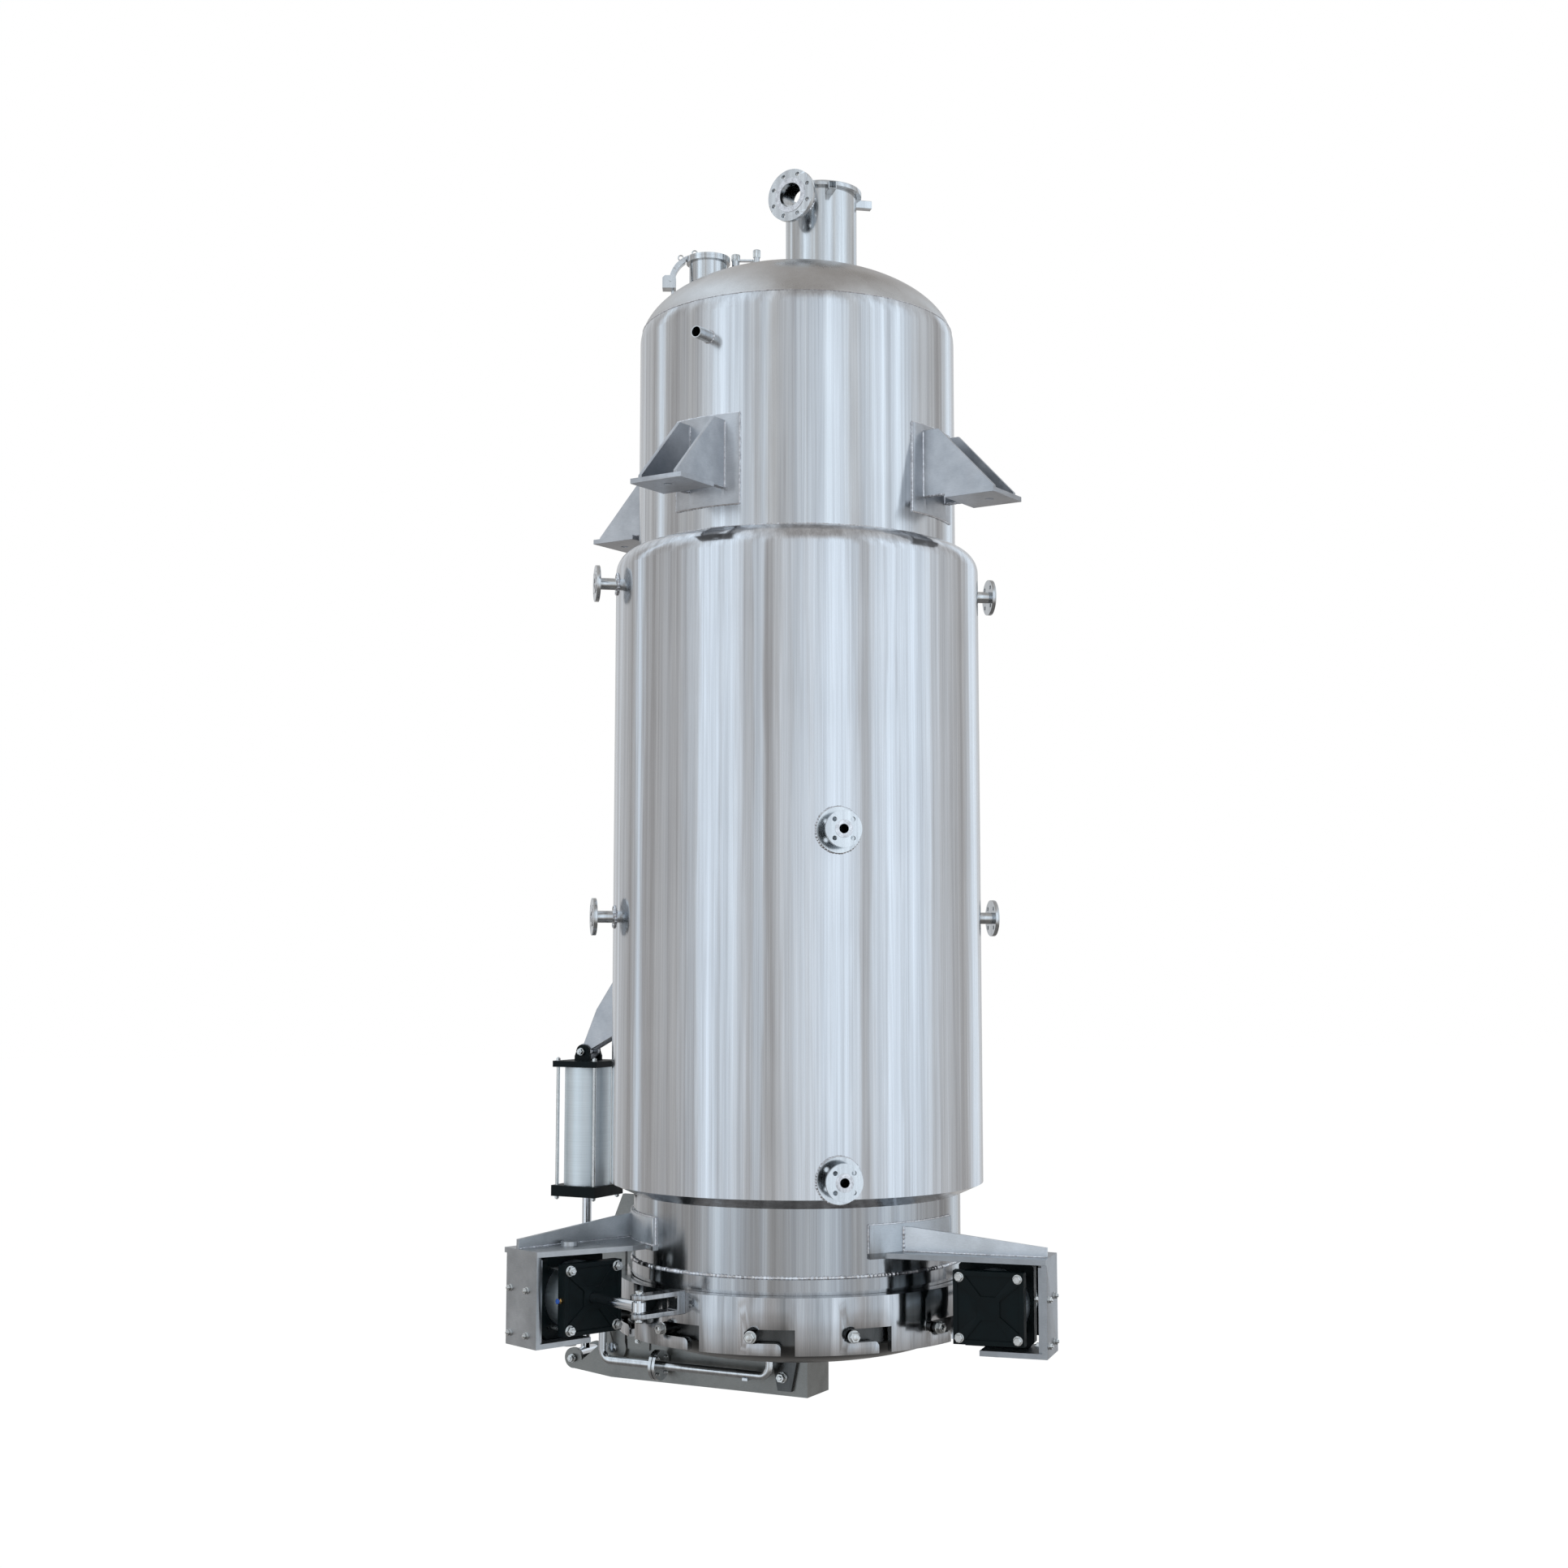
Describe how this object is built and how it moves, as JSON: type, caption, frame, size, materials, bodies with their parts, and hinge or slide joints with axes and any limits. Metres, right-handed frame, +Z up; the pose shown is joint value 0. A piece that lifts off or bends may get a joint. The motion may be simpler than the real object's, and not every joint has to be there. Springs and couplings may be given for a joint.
{
  "type": "bottom-discharge extraction tank",
  "caption": "Tall jacketed stainless extraction tank with a domed head, flanged nozzles, support lugs and a quick-opening bottom door locked by a cylinder-driven bayonet ring.",
  "frame": {"origin": "on the tank's axis, in the plane of the undersides of the four support lugs", "axes": "+Z up along the tank, -Y towards the two front nozzles, +X to their right"},
  "size_m": [2.0491, 1.7436, 4.99],
  "materials": {
    "shell_steel": "vertical satin brush",
    "jacket_steel": "bright vertical brush",
    "head_steel": "fine satin",
    "pipe_steel": "satin",
    "bracket_steel": "dull satin",
    "ring_steel": "turned satin",
    "door_steel": "satin",
    "black_caps": "satin black",
    "barrel_metal": "anodised",
    "rod_chrome": "ground and plated"
  },
  "bodies": {
    "tank": {"body_shell": "shell_steel", "dome_head": "head_steel", "heating_jacket": "jacket_steel", "nozzle_left_upper": "pipe_steel", "nozzle_left_lower": "pipe_steel", "nozzle_right_upper": "pipe_steel", "nozzle_right_lower": "pipe_steel", "nozzle_front_upper": "pipe_steel", "nozzle_front_lower": "pipe_steel", "neck_tube": "pipe_steel", "neck_rim": "pipe_steel", "branch_nozzle": "pipe_steel", "feed_neck": "pipe_steel", "feed_hinge": "pipe_steel", "feed_clamp": "pipe_steel", "vent_stub": "pipe_steel", "lug_front_left": "bracket_steel", "lug_front_right": "bracket_steel", "lug_back_right": "bracket_steel", "lug_back_left": "bracket_steel", "shell_stub": "pipe_steel", "body_flange": "shell_steel", "front_cap_left": "black_caps", "barrel_left": "barrel_metal", "rear_cap_left": "black_caps", "yoke_left": "black_caps", "frame_left": "bracket_steel", "front_cap_right": "black_caps", "barrel_right": "barrel_metal", "rear_cap_right": "black_caps", "yoke_right": "black_caps", "frame_right": "bracket_steel", "door_rim": "door_steel", "door_dish": "door_steel", "door_arm": "bracket_steel", "hinge_plate_near": "bracket_steel", "hinge_plate_far": "bracket_steel", "hinge_pin": "rod_chrome", "drain_pipe": "pipe_steel", "lift_top_cap": "black_caps", "lift_pin": "rod_chrome", "lift_barrel": "barrel_metal", "lift_foot_cap": "black_caps", "lift_rod": "rod_chrome", "lift_hanger": "bracket_steel"},
    "ring": {"lock_ring": "ring_steel", "ring_ear_left": "ring_steel", "ring_ear_right": "ring_steel"},
    "rod_left": {"lock_rod_left": "rod_chrome"},
    "rod_right": {"lock_rod_right": "rod_chrome"},
    "feed_cover": {"feed_lid": "pipe_steel", "feed_arm": "pipe_steel"}
  },
  "joints": [
    {"name": "ring_turn", "type": "hinge", "parent": "tank", "child": "ring", "pos_m": [0, 0, -3.15], "axis": [0, 0, 1], "range_deg": [-11, 0]},
    {"name": "rod_slide_left", "type": "slide", "parent": "tank", "child": "rod_left", "axis": [0.5, -0.866, 0], "range_m": [-0.176, 0]},
    {"name": "rod_slide_right", "type": "slide", "parent": "tank", "child": "rod_right", "axis": [0.5, 0.866, 0], "range_m": [-0.176, 0]},
    {"name": "feed_cover_swing", "type": "hinge", "parent": "tank", "child": "feed_cover", "pos_m": [-0.5249, 0.09255, 1.035], "axis": [-0.1736, -0.9848, 0], "range_deg": [0, 100]}
  ],
  "couplings": [
    {"joint": "rod_slide_left", "follows": "ring_turn", "m_per_rad": 0.901},
    {"joint": "rod_slide_right", "follows": "ring_turn", "m_per_rad": 0.901}
  ]
}
